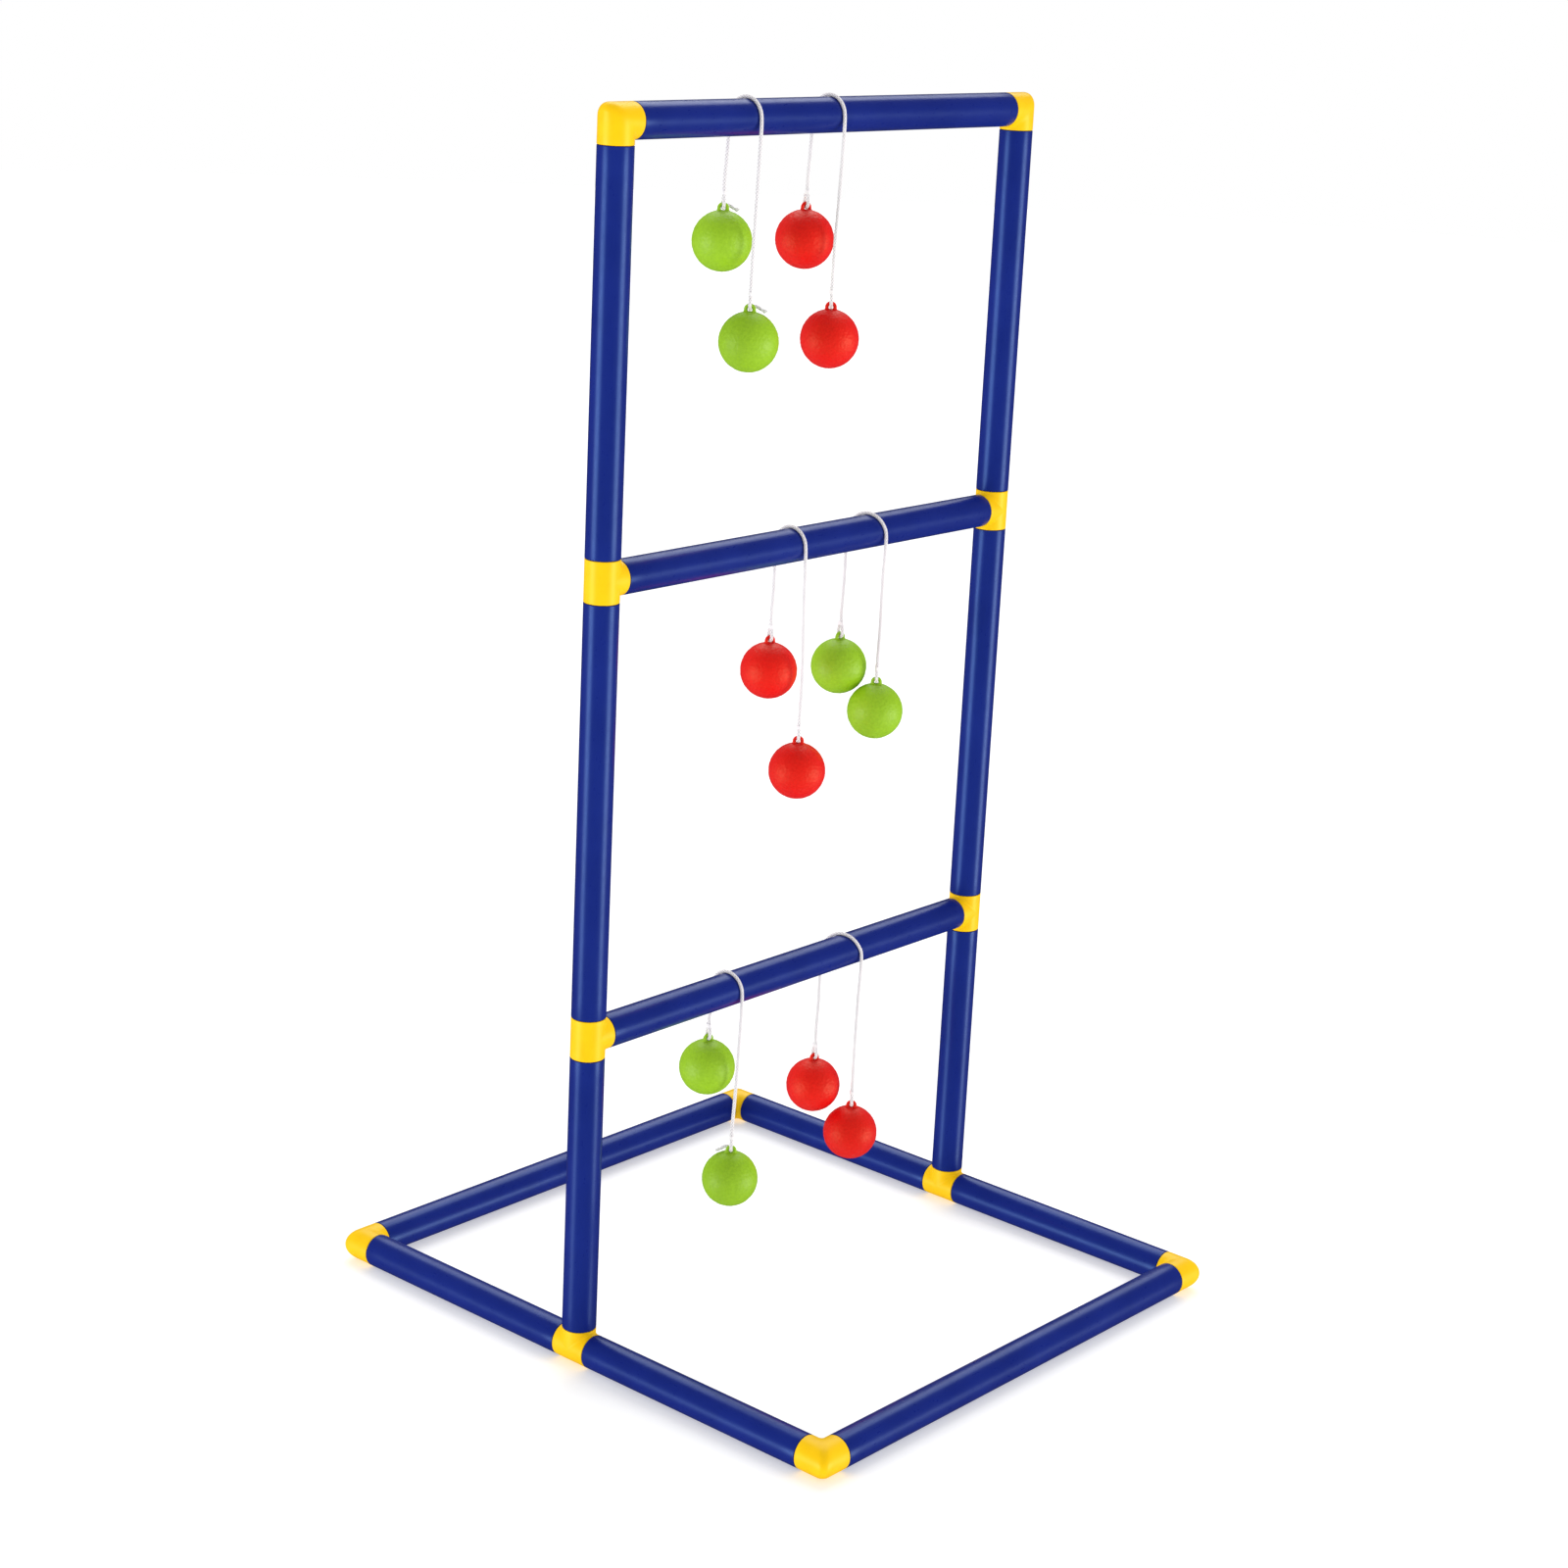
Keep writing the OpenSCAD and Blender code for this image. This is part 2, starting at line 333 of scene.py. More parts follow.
def skin_turns(start, end, count):
    """Places round a fitting, with extra ones where the parting line runs at 0 and pi."""
    fine = [math.radians(a) for a in (-1.6, -0.8, 0, 0.8, 1.6, 178.4, 179.2, 180, 180.8, 181.6)]
    even = list(np.linspace(start, end, count + 1))
    near = [e for e in even if all(abs(e - f) > math.radians(1.2) for f in fine)]
    keep = [f for f in fine if start - 1e-6 <= f <= end + 1e-6]
    return sorted(set(near + keep))


def with_parting_line(verts):
    """Raises the thin line that the two halves of the mould leave on the sleeves."""
    verts = np.array(verts)
    reach = np.abs(verts).max(axis=1)
    on_sleeve = (reach < TAKE_OFF - RIM * 1.01) & (np.abs(verts[:, 1]) < 0.6 * MM)
    depth = np.minimum(np.abs(verts[:, 0]), np.abs(verts[:, 2]))
    outer = depth > TUBE_R * 0.9
    lift = PARTING_H * np.exp(-(verts[:, 1] / PARTING_W) ** 2)
    lift = np.where(on_sleeve & outer, lift, 0.0)
    arm_is_z = np.abs(verts[:, 2]) > np.abs(verts[:, 0])
    verts[:, 0] += np.where(arm_is_z, np.sign(verts[:, 0]) * lift, 0.0)
    verts[:, 2] += np.where(arm_is_z, 0.0, np.sign(verts[:, 2]) * lift)
    return verts


def patch(lines, first, flip=False, wrap=False):
    """Vertices and quads of a skin made of neighbouring lines of equal length."""
    rows, cols = len(lines), len(lines[0])
    faces = grid_faces(rows, cols, first, wrap_rows=wrap)
    if flip:
        faces = [face[::-1] for face in faces]
    return [point for line in lines for point in line], faces


def elbow_skin():
    """An elbow with arms along +X and +Z: its outside and its hollow, in one closed mesh."""
    outer = arm_outline()
    inner = [(SPIGOT_END, HOLLOW_R)]
    turns = skin_turns(math.radians(-90), math.radians(270), AROUND)[:-1]
    verts, faces = patch(
        [bent_line(t, outer, TUBE_R, corner_radius(t, False)) for t in turns], 0, wrap=True)
    more, extra = patch(
        [bent_line(t, inner, HOLLOW_R, HOLLOW_BEND_R) for t in turns], len(verts), True, wrap=True)
    return with_parting_line(verts + more), faces + extra


def tee_skin():
    """A tee with its run along Z and its branch along +X, outside and hollow."""
    quarter = math.pi / 2
    front = skin_turns(-quarter, quarter, AROUND // 2)
    behind = skin_turns(quarter, 3 * quarter, AROUND // 2)
    verts, faces = [], []
    for arm, radius, flip in (
        (arm_outline(), TUBE_R, False),
        ([(SPIGOT_END, HOLLOW_R)], HOLLOW_R, True),
    ):
        upper = [
            bent_line(t, arm, radius, corner_radius(t, True) * (radius / TUBE_R)) for t in front
        ]
        lower = [[(x, y, -z) for x, y, z in line] for line in upper]
        back = [straight_line(t, arm, radius) for t in behind]
        for lines, turned in ((upper, flip), (lower, not flip), (back, flip)):
            more, extra = patch(lines, len(verts), turned)
            verts += more
            faces += extra
    return with_parting_line(verts), faces


def make_fitting(node, skin, centre, branch, run, material):
    """A yellow fitting in place of a CAD one: local X is sent to branch and local Z to run."""
    verts, faces = skin
    placed = verts @ axes_matrix(branch, run).T + np.array(centre)
    piece = make_piece(f"fitting_{node}", placed, faces, material)
    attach(piece, "frame")
    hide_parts(node)


def make_fittings(material):
    """The base's corners, the tees under the uprights and at the rungs, and the top elbows."""
    elbow, tee = elbow_skin(), tee_skin()
    inward = {"left": (1, 0, 0), "right": (-1, 0, 0)}
    to_middle = {"front": (0, 1, 0), "back": (0, -1, 0)}
    for side in SIDES:
        x = SIDE_X[side]
        for end in ENDS:
            centre = (x, END_Y[end], BASE_Z)
            node = f"corner_{side}_{end}"
            make_fitting(node, elbow, centre, inward[side], to_middle[end], material)
        make_fitting(f"base_tee_{side}", tee, (x, 0, BASE_Z), (0, 0, 1), (0, 1, 0), material)
        for rung in (LOWER, MIDDLE):
            centre = (x, 0, RUNG_Z[rung])
            make_fitting(f"rung_tee_{side}_{rung}", tee, centre, inward[side], (0, 0, 1), material)
        centre = (x, 0, RUNG_Z[TOP])
        make_fitting(f"top_elbow_{side}", elbow, centre, inward[side], (0, 0, -1), material)


# ---------------------------------------------------------------- balls

NET_STEP = 0.5 * MM         # grid step of a ball's mesh
NET_MARGIN = 1.5 * MM       # room left round the ball in that grid

# The moulded grain: how wide its pebbles and pits are, how high, and where it is level
PEBBLE, PEBBLE_HEIGHT, PEBBLE_LEVEL = 2.1 * MM, 0.28 * MM, 0.34
PIT, PIT_HEIGHT = 1.0 * MM, 0.11 * MM
GRAIN_FADE = 0.8 * MM       # rise of the eyelet's foot over which the grain fades out


def ball_distance(points):
    """Signed distance to a ball with its eyelet, centre at the origin, hole along Y."""
    x, y, z = points[..., 0], points[..., 1], points[..., 2]
    ball = np.sqrt(x * x + y * y + z * z) - BALL_R
    bend_z = BAR_Z - EYELET_BEND_R
    over = np.sqrt(x * x + (z - bend_z) ** 2) - EYELET_BEND_R
    leg = np.abs(x) - EYELET_BEND_R
    across = np.where(z > bend_z, over, leg)
    inside = np.maximum(BALL_R * 0.8 - z, 0)
    eyelet = np.sqrt(across ** 2 + y * y + inside ** 2) - EYELET_BAR_R
    blend = np.maximum(EYELET_FILLET - np.abs(ball - eyelet), 0) / EYELET_FILLET
    return np.minimum(ball, eyelet) - blend * blend * EYELET_FILLET / 4


def slope(distance, points, step=0.05 * MM):
    """Unit gradient of a distance function, by differences."""
    out = np.empty_like(points)
    for axis in range(3):
        offset = np.zeros(3)
        offset[axis] = step
        out[:, axis] = distance(points + offset) - distance(points - offset)
    return out / np.linalg.norm(out, axis=1, keepdims=True)


def surface_net(distance, low, high, step):
    """A closed quad mesh of the zero level of a distance function, pulled onto that level.

    Each grid cell that the surface crosses gets one vertex, at the mean of its edges' crossings,
    and each crossed edge gets one face between the four cells round it.
    """
    counts = np.ceil((np.array(high) - low) / step).astype(int) + 1
    spans = [low[i] + step * np.arange(counts[i]) for i in range(3)]
    grid = np.stack(np.meshgrid(*spans, indexing="ij"), axis=-1)
    value = distance(grid)
    inside = value < 0
    total = np.zeros(tuple(counts - 1) + (3,))
    crossings = np.zeros(tuple(counts - 1))
    for axis in range(3):
        u, v = [a for a in range(3) if a != axis]
        near = [slice(None)] * 3
        far = [slice(None)] * 3
        near[axis], far[axis] = slice(None, -1), slice(1, None)
        a, b = value[tuple(near)], value[tuple(far)]
        crosses = inside[tuple(near)] != inside[tuple(far)]
        share = np.where(crosses, a / np.where(crosses, a - b, 1), 0)
        place = grid[tuple(near)].copy()
        place[..., axis] += share * step
        for du in (0, 1):
            for dv in (0, 1):
                part = [slice(None)] * 3
                part[u] = slice(du, du + counts[u] - 1)
                part[v] = slice(dv, dv + counts[v] - 1)
                hit = crosses[tuple(part)]
                total += np.where(hit[..., None], place[tuple(part)], 0)
                crossings += hit
    cells = np.argwhere(crossings > 0)
    number = np.full(crossings.shape, -1)
    number[tuple(cells.T)] = np.arange(len(cells))
    verts = total[tuple(cells.T)] / crossings[tuple(cells.T)][:, None]
    faces = []
    for axis in range(3):
        u, v = (axis + 1) % 3, (axis + 2) % 3
        near = [slice(1, -1)] * 3
        far = [slice(1, -1)] * 3
        near[axis], far[axis] = slice(1, -2), slice(2, -1)
        flips = np.argwhere(inside[tuple(near)] != inside[tuple(far)]) + 1
        ring = []
        for du, dv in ((0, 0), (-1, 0), (-1, -1), (0, -1)):
            cell = flips.copy()
            cell[:, u] += du
            cell[:, v] += dv
            ring.append(number[tuple(cell.T)])
        faces.append(np.stack(ring, axis=1))
    for _ in range(4):
        verts = verts - distance(verts)[:, None] * slope(distance, verts)
    return verts, np.concatenate(faces)


def ball_grain(points, seed):
    """Height of the moulded grain at each point: soft pebbles and finer pits."""
    shift = Vector((seed * 1.7, seed * 0.9, seed * 2.3))
    height = np.empty(len(points))
    for i, point in enumerate(points):
        spot = Vector(point)
        near = noise.voronoi(spot * (1 / PEBBLE) + shift)[0][0]
        pit = noise.noise(spot * (1 / PIT) + shift)
        height[i] = PEBBLE_HEIGHT * (PEBBLE_LEVEL - near) + PIT_HEIGHT * pit
    # The grain fades out on the eyelet, which is smooth
    rise = np.linalg.norm(points, axis=1) - BALL_R
    return height * np.clip(1 - rise / GRAIN_FADE, 0, 1)


def ball_centre(node):
    """A ball's own centre, from its CAD box, which the eyelet makes taller."""
    spot = middle(node)
    spot.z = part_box(node)[0][2] + BALL_R
    return spot


def make_balls(materials):
    """Twelve balls of one shape, each with its own grain, turned as its eyelet hangs."""
    reach = BALL_R + NET_MARGIN
    low = np.array([-reach, -reach, -reach])
    high = np.array([reach, reach, EYELET_TOP + NET_MARGIN])
    verts, faces = surface_net(ball_distance, low, high, NET_STEP)
    normals = slope(ball_distance, verts)
    for number, (_, slot, *turns, _, _) in BOLAS.items():
        for end, turn in zip(ENDS, turns):
            node = f"ball_{number}_{end}"
            seed = 2 * number + ENDS.index(end)
            grained = verts + normals * ball_grain(verts, seed)[:, None]
            angle = math.radians(turn)
            x_axis = (math.cos(angle), math.sin(angle), 0)
            placed = grained @ axes_matrix(x_axis, (0, 0, 1)).T + np.array(ball_centre(node))
            piece = make_piece(f"shell_{node}", placed, faces, materials[slot], smooth_angle=80)
            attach(piece, f"bola_{number}")
            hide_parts(node)


# ---------------------------------------------------------------- cords

def smooth_path(points, spacing):
    """A Catmull-Rom curve through the points, sampled about evenly."""
    points = np.array(points, float)
    before = 2 * points[0] - points[1]
    after = 2 * points[-1] - points[-2]
    padded = np.concatenate([[before], points, [after]])
    fine = []
    for i in range(1, len(padded) - 2):
        p0, p1, p2, p3 = padded[i - 1:i + 3]
        knots = [0.0]
        for a, b in ((p0, p1), (p1, p2), (p2, p3)):
            knots.append(knots[-1] + max(np.linalg.norm(b - a), 1e-9) ** 0.5)
        t0, t1, t2, t3 = knots
        steps = max(4, int(np.linalg.norm(p2 - p1) / (spacing / 4)))
        for t in np.linspace(t1, t2, steps, endpoint=False):
            a1 = p0 * (t1 - t) / (t1 - t0) + p1 * (t - t0) / (t1 - t0)
            a2 = p1 * (t2 - t) / (t2 - t1) + p2 * (t - t1) / (t2 - t1)
            a3 = p2 * (t3 - t) / (t3 - t2) + p3 * (t - t2) / (t3 - t2)
            b1 = a1 * (t2 - t) / (t2 - t0) + a2 * (t - t0) / (t2 - t0)
            b2 = a2 * (t3 - t) / (t3 - t1) + a3 * (t - t1) / (t3 - t1)
            fine.append(b1 * (t2 - t) / (t2 - t1) + b2 * (t - t1) / (t2 - t1))
    fine.append(points[-1])
    fine = np.array(fine)
    run = np.concatenate([[0], np.cumsum(np.linalg.norm(np.diff(fine, axis=0), axis=1))])
    wanted = np.linspace(0, run[-1], max(3, round(run[-1] / spacing) + 1))
    return np.stack([np.interp(wanted, run, fine[:, k]) for k in range(3)], axis=1)


def path_frames(path):
    """Unit side vectors along a path, carried without twist."""
    ways = np.gradient(path, axis=0)
    ways /= np.linalg.norm(ways, axis=1, keepdims=True)
    start = np.cross(ways[0], (1, 0, 0))
    if np.linalg.norm(start) < 0.1:
        start = np.cross(ways[0], (0, 1, 0))
    first = [start / np.linalg.norm(start)]
    for way in ways[1:]:
        side = first[-1] - way * np.dot(first[-1], way)
        first.append(side / np.linalg.norm(side))
    first = np.array(first)
    return first, np.cross(ways, first)


def braided_tube(path, radius, sides=32, strands=4, lay=5.0 * MM, relief=0.16 * MM):
    """A round braid along a path: two sets of strands wind opposite ways over each other.

    Returns its vertices, its faces and how deep each vertex lies between the strands, by which the
    cord's colour is darkened as painted shade.
    """
    first, second = path_frames(path)
    run = np.concatenate([[0], np.cumsum(np.linalg.norm(np.diff(path, axis=0), axis=1))])
    turn = np.linspace(0, 2 * math.pi, sides, endpoint=False)[None, :]
    along = run[:, None] * 2 * math.pi / lay * strands / 2
    right = np.cos(strands * turn + along)
    left = np.cos(strands * turn - along)
    crown = np.maximum(right, left)
    height = relief * crown
    closing = np.minimum(run, run[-1] - run)[:, None]
    ends = np.sqrt(np.clip(closing / (0.5 * MM), 0.02, 1))
    size = (radius + height - relief * 0.6) * ends
    verts = (path[:, None, :] + size[..., None] * (
        np.cos(turn)[..., None] * first[:, None, :] + np.sin(turn)[..., None] * second[:, None, :]))
    rows = len(path)
    faces = grid_faces(rows, sides, wrap_cols=True)
    faces.append(list(range(sides)))
    faces.append(list(range((rows - 1) * sides, rows * sides)))
    groove_shade = np.clip(0.5 - 0.5 * crown, 0, 1) * (1 if relief else 0)
    return verts.reshape(-1, 3), faces, groove_shade.ravel()


def joined(parts):
    """Several braided tubes as one: vertices, faces and grooves."""
    verts, faces, groove_shades = [], [], []
    for more, extra, groove_shade in parts:
        faces += [[i + len(verts) for i in face] for face in extra]
        verts += list(more)
        groove_shades += list(groove_shade)
    return verts, faces, groove_shades


# The cord's own end at an eyelet, as (distance through the hole, height above the ball's centre):
# it comes down on one side of the bar.
LEG = [(-0.2 * MM, 38.0 * MM), (-0.9 * MM, 34.0 * MM), (-2.0 * MM, 29.6 * MM),
       (-2.6 * MM, 26.6 * MM), (-2.65 * MM, 25.0 * MM)]
# It then passes under the bar and back up on the other side, where a whipping of thread holds it.
LOOP_R = 2.65 * MM
RETURN = [(2.6 * MM, 26.4 * MM), (2.2 * MM, 29.0 * MM), (1.5 * MM, 32.0 * MM),
          (1.2 * MM, 34.0 * MM)]
WHIPPING = (31.6 * MM, 34.4 * MM)     # its lowest and highest turn
WHIPPING_TURNS = 6
THREAD_R = 0.27 * MM
FIBRES = 14                           # in a frayed tail
FIBRE_R = 0.21 * MM
# The balls whose tie shows the cord's tail, and the side to which it lies along the bar
TAILED = {"ball_1_front": 1, "ball_1_back": 1, "ball_5_front": -1}


def hole_axes(number, end):
    """Unit vectors at an eyelet: along its bar, and through its hole away from the viewer."""
    angle = math.radians(BOLAS[number][2 + ENDS.index(end)])
    return (np.array([math.cos(angle), math.sin(angle), 0]),
            np.array([-math.sin(angle), math.cos(angle), 0]))


def at_eyelet(number, end, points):
    """Points (distance through the hole, height) beside a ball's eyelet, in the row's frame."""
    centre = np.array(ball_centre(f"ball_{number}_{end}"))
    through = hole_axes(number, end)[1]
    up = np.array([0, 0, 1])
    return [centre + through * d + up * z for d, z in points]


def cord_route(number):
    """The points that a bola's cord follows, from its front eyelet to its back one."""
    rung, _, _, _, *strands = BOLAS[number]
    saddle_r = TUBE_R + CORD_REST + CORD_R
    rung_z = RUNG_Z[rung]
    hung = []
    for end, strand, sign in zip(ENDS, strands, (-1, 1)):
        foot_y = middle(f"ball_{number}_{end}").y
        points = []
        for x, z in strand[:-1]:
            share = z / strand[-1][1]
            y = sign * saddle_r + (foot_y - sign * saddle_r) * share
            points.append(np.array([x, y, rung_z + z]))
        hung.append(points + at_eyelet(number, end, LEG))
    x_front, x_back = strands[0][0][0], strands[1][0][0]
    saddle = [
        np.array([
            x_front + (x_back - x_front) * angle / 180,
            -saddle_r * math.cos(math.radians(angle)),
            rung_z + saddle_r * math.sin(math.radians(angle)),
        ])
        for angle in np.arange(22.5, 180, 22.5)
    ]
    return hung[0][::-1] + saddle + hung[1]


def tail_end(centre, aside, through, seed):
    """The cord's own end beside the eyelet: it droops on the ball and frays into fibres."""
    chance = np.random.default_rng(seed)
    up = np.array([0, 0, 1])

    def route(points):
        return [centre + (aside * x + through * d + up * z) * MM for x, d, z in points]

    drooping = ((0.6, 2.3, 23.4), (3.0, 3.4, 24.3), (5.6, 3.4, 23.6), (8.2, 2.8, 21.9))
    parts = [braided_tube(smooth_path(route(drooping), 0.4 * MM), CORD_R * 0.92, sides=24)]
    for angle in np.linspace(0, 2 * math.pi, FIBRES, endpoint=False):
        side, lift = 0.7 * math.cos(angle), 0.7 * math.sin(angle)
        reach, splay = 2.6 + chance.uniform(0, 1.6), 1.2 + chance.uniform(0, 1.0)
        fibre = (
            (7.4, 2.9 + side, 22.5 + lift),
            (8.4, 2.7 + side * 1.2, 21.9 + lift * 1.2),
            (8.4 + reach * 0.5, 2.6 + side * splay, 21.3 + lift * splay),
            (8.2 + reach, 2.4 + side * splay * 1.4, 20.6 + abs(lift) * splay),
        )
        path = smooth_path(route(fibre), 0.5 * MM)
        parts.append(braided_tube(path, FIBRE_R, sides=6, relief=0))
    return parts


def make_tie(number, end, material):
    """The loop of cord through an eyelet, its whipping and, on some, its tail end."""
    node = f"ball_{number}_{end}"
    under = [
        (-LOOP_R * math.cos(a), BAR_Z - LOOP_R * math.sin(a))
        for a in np.radians(np.linspace(0, 180, 9))
    ]
    loop = smooth_path(at_eyelet(number, end, LEG[-2:-1] + under + RETURN), 0.4 * MM)
    parts = [braided_tube(loop, CORD_R * 0.97, sides=24)]
    low, high = WHIPPING
    bar, through = hole_axes(number, end)
    centre = np.array(ball_centre(node))
    whole = WHIPPING_TURNS * 2 * math.pi
    thread = [
        centre + through * (0.1 * MM + 2.55 * MM * math.cos(a)) + bar * 1.5 * MM * math.sin(a)
        + np.array([0, 0, low + (high - low) * a / whole])
        for a in np.linspace(0, whole, WHIPPING_TURNS * 14)
    ]
    parts.append(braided_tube(smooth_path(thread, 0.35 * MM), THREAD_R, sides=8, relief=0))
    if node in TAILED:
        parts += tail_end(centre, bar * TAILED[node], through, seed=number)
    verts, faces, groove_shade = joined(parts)
    piece = make_piece(f"tie_{number}_{end}", verts, faces, material, groove_shade)
    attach(piece, f"bola_{number}")
    return piece


def make_cords(material):
    """Each bola's cord in one length over its rung, with a tie at each of its two balls."""
    for number in BOLAS:
        path = smooth_path(cord_route(number), 0.45 * MM)
        verts, faces, groove_shade = braided_tube(path, CORD_R)
        piece = make_piece(f"braid_cord_{number}", verts, faces, material, groove_shade)
        ties = [make_tie(number, end, material) for end in ENDS]
        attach(piece, f"bola_{number}")
        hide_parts(f"cord_{number}")


# ---------------------------------------------------------------- materials

class Shader:
    """A material's node tree, with short calls to add to it."""

    def __init__(self, name):
        self.material = bpy.data.materials.new(name)
        self.material.use_nodes = True
        self.tree = self.material.node_tree
        self.main = self.tree.nodes["Principled BSDF"]

    def add(self, kind, settings=None, **inputs):
        """Adds a node. Inputs are values or another node's output, with _ for a space."""
        node = self.tree.nodes.new(kind)
        for key, value in (settings or {}).items():
            setattr(node, key, value)
        for key, value in inputs.items():
            self.put(node, key.replace("_", " "), value)
        return node

    def put(self, node, socket, value):
        """Sets a node's input, or links it to another node's output."""
        if isinstance(value, bpy.types.NodeSocket):
            self.tree.links.new(value, node.inputs[socket])
        else:
            node.inputs[socket].default_value = value

    def set(self, **values):
        """Sets the shader's own sockets."""
        for key, value in values.items():
            self.put(self.main, key.replace("_", " "), value)

    def place(self, scale=(1, 1, 1)):
        """The piece's own coordinates in metres, stretched by a scale."""
        coords = self.add("ShaderNodeTexCoord").outputs["Object"]
        return self.add("ShaderNodeMapping", Vector=coords, Scale=scale).outputs["Vector"]

    def noise(self, vector, scale, detail=3.0, rough=0.5):
        """Cloudy noise from 0 to 1; scale is how many clouds there are to a metre."""
        return self.add("ShaderNodeTexNoise", Vector=vector, Scale=scale, Detail=detail,
                        Roughness=rough).outputs["Fac"]

    def ramp(self, value, stops):
        """A colour ramp over (place, colour) stops."""
        node = self.add("ShaderNodeValToRGB", Fac=value)
        elements = node.color_ramp.elements
        while len(elements) < len(stops):
            elements.new(0.5)
        for element, (place, colour) in zip(elements, stops):
            element.position = place
            element.color = (*colour, 1)
        return node.outputs["Color"]

    def remap(self, value, low, high, to_low, to_high):
        """A number moved from one range to another."""
        node = self.add("ShaderNodeMapRange", Value=value)
        for key, number in zip(("From Min", "From Max", "To Min", "To Max"),
                               (low, high, to_low, to_high)):
            node.inputs[key].default_value = number
        return node.outputs["Result"]

    def bump(self, height, distance, strength=1.0, under=None):
        """Relief from a height of 0 to 1 times a distance in metres, over another bump or none."""
        node = self.add("ShaderNodeBump", Height=height, Distance=distance, Strength=strength)
        if under is not None:
            self.put(node, "Normal", under)
        return node.outputs["Normal"]


def tube_plastic():
    """Glossy extruded blue plastic, with faint draw lines along it and scuffs in the gloss."""
    s = Shader("tube_plastic")
    lines = s.noise(s.place(scale=(1, 1, 0.01)), 1500, detail=2)
    clouds = s.noise(s.place(), 28, detail=4)
    scuffs = s.noise(s.place(scale=(1, 1, 0.25)), 420, detail=5, rough=0.7)
    tones = [(0.3, (0.0054, 0.0140, 0.164)), (0.7, (0.0072, 0.0176, 0.190))]
    s.set(Base_Color=s.ramp(clouds, tones))
    s.set(Roughness=s.remap(scuffs, 0.35, 0.75, 0.27, 0.36))
    s.set(Normal=s.bump(lines, 0.00004, 0.35, s.bump(clouds, 0.0002, 0.3)))
    s.set(IOR=1.5, Specular_IOR_Level=0.42, Specular_Tint=(0.24, 0.50, 1.0, 1))
    return s.material


def fitting_plastic():
    """Smooth moulded yellow plastic with a faint flow pattern and a fine satin grain."""
    s = Shader("fitting_plastic")
    place = s.place()
    flow = s.noise(place, 70, detail=3)
    grain = s.noise(place, 2600, detail=2)
    s.set(Base_Color=s.ramp(flow, [(0.3, (0.85, 0.505, 0.0005)), (0.7, (0.91, 0.555, 0.001))]))
    s.set(Roughness=s.remap(flow, 0.3, 0.7, 0.34, 0.42))
    s.set(Normal=s.bump(grain, 0.00003, 0.4, s.bump(flow, 0.0002, 0.25)))
    s.set(IOR=1.48, Specular_IOR_Level=0.42, Specular_Tint=(1.0, 0.9, 0.35, 1))
    return s.material


def ball_plastic(name, deep, light, gloss):
    """Soft matte plastic: mottled colour, a fine skin over the moulded grain, a dull sheen."""
    s = Shader(name)
    place = s.place()
    mottle = s.noise(place, 420, detail=5, rough=0.7)
    skin = s.noise(place, 1500, detail=4, rough=0.65)
    s.set(Base_Color=s.ramp(mottle, [(0.3, deep), (0.72, light)]))
    s.set(Roughness=s.remap(skin, 0.3, 0.7, 0.40, 0.54))
    s.set(Normal=s.bump(skin, 0.00014, 0.7))
    s.set(IOR=1.46, Specular_IOR_Level=0.46, Specular_Tint=(*gloss, 1))
    return s.material


def cord_fabric():
    """White braided polyester: fibres along each strand, a soft sheen, and painted shade that
    darkens the colour between the braid's strands.
    """
    s = Shader("cord_fabric")
    place = s.place()
    fibre = s.noise(place, 5200, detail=3, rough=0.6)
    shade = s.noise(place, 260, detail=2)
    # Painted shade: the groove attribute, highest between the strands, darkens the colour towards
    # the ramp's grey stops; the cloudy noise adds a little random tone.
    groove_shade = s.add("ShaderNodeAttribute", {"attribute_name": "groove_shade"}).outputs["Fac"]
    depth = s.add("ShaderNodeMath", {"operation": "MULTIPLY_ADD"})
    for socket, value in enumerate((shade, 0.25, groove_shade)):
        s.put(depth, socket, value)
    tones = [(0.10, (0.87, 0.85, 0.87)), (0.45, (0.71, 0.69, 0.71)), (0.75, (0.50, 0.48, 0.495))]
    s.set(Base_Color=s.ramp(depth.outputs["Value"], tones))
    s.set(Roughness=s.remap(fibre, 0.3, 0.7, 0.7, 0.9))
    s.set(Normal=s.bump(fibre, 0.00006, 0.6))
    s.set(Sheen_Weight=0.25)
    return s.material


def floor_paint():
    """A plain pale studio floor."""
    s = Shader("floor_paint")
    shade = s.noise(s.place(), 1.5, detail=2)
    s.set(Base_Color=s.ramp(shade, [(0.3, (0.65, 0.65, 0.655)), (0.7, (0.67, 0.67, 0.675))]))
    s.set(Roughness=0.8, Emission_Color=(1, 1, 1, 1), Emission_Strength=0.45)
    return s.material


# ---------------------------------------------------------------- floor and light

FLOOR_R = 9.0


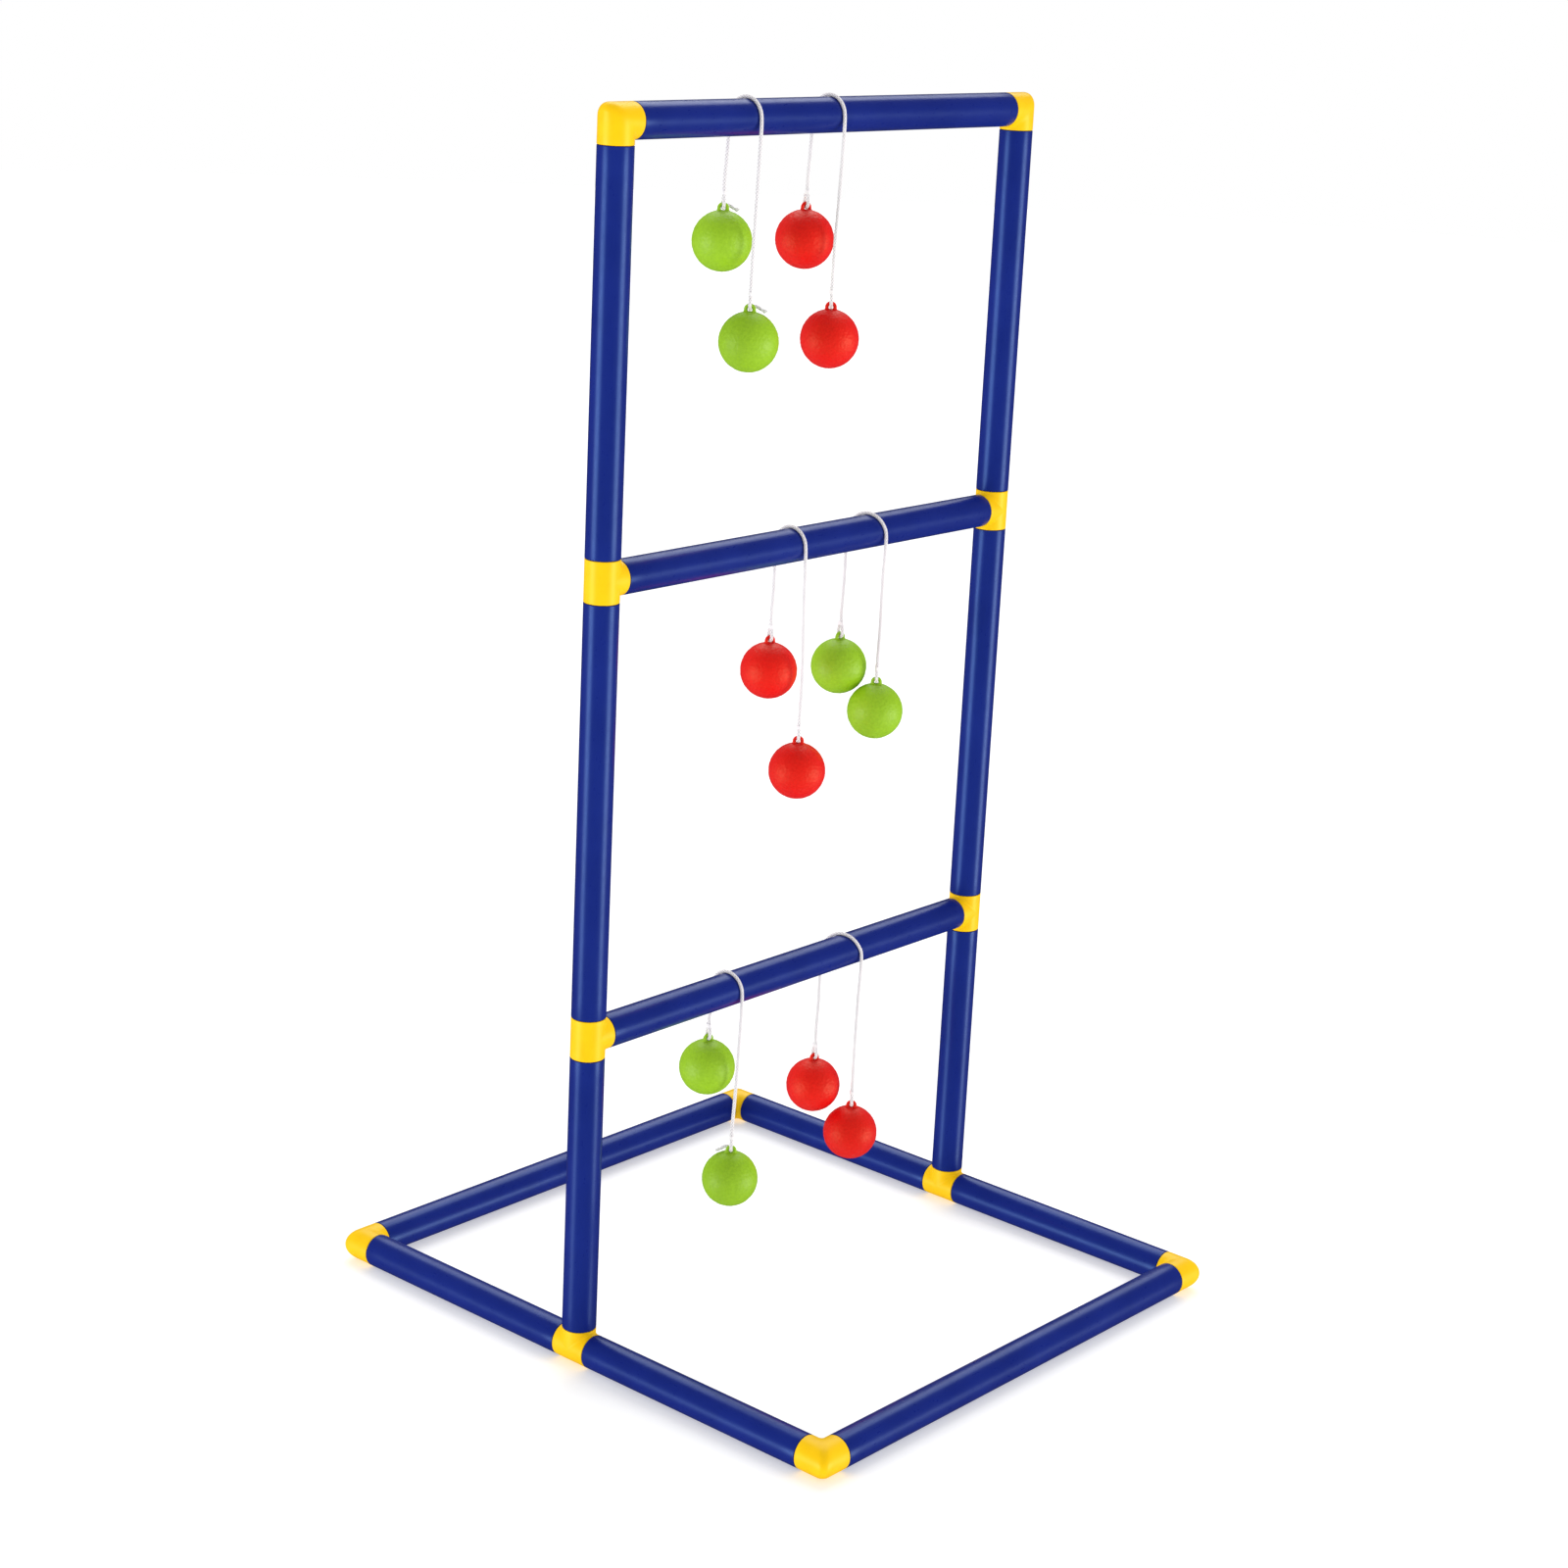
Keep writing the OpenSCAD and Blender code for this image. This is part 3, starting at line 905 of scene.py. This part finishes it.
def make_floor():
    """A wide round floor at the height of the base's underside."""
    work = bmesh.new()
    bmesh.ops.create_circle(work, cap_ends=True, segments=96, radius=FLOOR_R)
    mesh = bpy.data.meshes.new("floor")
    work.to_mesh(mesh)
    work.free()
    mesh.materials.append(floor_paint())
    floor = bpy.data.objects.new("floor", mesh)
    # The floor stays out of the plastic's gloss and lets the low side lights past
    floor.visible_glossy = False
    floor.visible_shadow = False
    bpy.context.collection.objects.link(floor)
    floor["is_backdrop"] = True


# Each soft light, as if from a large far panel: the direction it comes from, how wide it looks in
# degrees, its strength and its colour
PANELS = {
    "left_panel": ((-0.93, 0.33, -0.16), 30, 1.60, (1.0, 0.99, 0.98)),
    "right_panel": ((0.43, -0.89, -0.16), 30, 1.70, (1.0, 0.95, 0.88)),
    "top_panel": ((0.48, 0.39, 0.79), 50, 1.70, (1.0, 1.0, 1.0)),
}
FILL = 0.76          # brightness of the white surroundings as a fill light
GLOSS_FILL = 0.05    # and as the plastic's gloss shows them


def make_light():
    """The panels, and white surroundings that are pure white only behind the object."""
    for name, (source, width, strength, colour) in PANELS.items():
        data = bpy.data.lights.new(name, "SUN")
        data.angle = math.radians(width)
        data.energy = strength
        data.color = colour
        light = bpy.data.objects.new(name, data)
        light.rotation_euler = Vector(source).to_track_quat("Z", "Y").to_euler()
        bpy.context.collection.objects.link(light)
    world = bpy.data.worlds.new("studio")
    world.use_nodes = True
    tree = world.node_tree
    path = tree.nodes.new("ShaderNodeLightPath")
    background = tree.nodes["Background"]
    background.inputs["Color"].default_value = (1, 1, 1, 1)
    previous = FILL
    for ray, value in (("Is Glossy Ray", GLOSS_FILL), ("Is Camera Ray", 1.0)):
        mix = tree.nodes.new("ShaderNodeMix")
        tree.links.new(path.outputs[ray], mix.inputs["Factor"])
        if isinstance(previous, float):
            mix.inputs["A"].default_value = previous
        else:
            tree.links.new(previous, mix.inputs["A"])
        mix.inputs["B"].default_value = value
        previous = mix.outputs["Result"]
    tree.links.new(previous, background.inputs["Strength"])
    bpy.context.scene.world = world
    bpy.context.scene.view_settings.view_transform = "Standard"


# ---------------------------------------------------------------- the scene

def main():
    make_camera()
    make_cords(cord_fabric())
    make_balls({
        "ball_green": ball_plastic(
            "ball_green_plastic", (0.250, 0.478, 0.004), (0.310, 0.560, 0.010), (1.0, 1.0, 0.95)),
        "ball_red": ball_plastic(
            "ball_red_plastic", (0.65, 0.0005, 0.002), (0.77, 0.002, 0.004), (1.0, 0.70, 0.36)),
    })
    make_fittings(fitting_plastic())
    make_tubes(tube_plastic())
    make_floor()
    make_light()


main()
sizes = {"cad": CAD_BOX, "visual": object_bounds()}
{name: [[float(n) for n in corner] for corner in box] for name, box in sizes.items()}
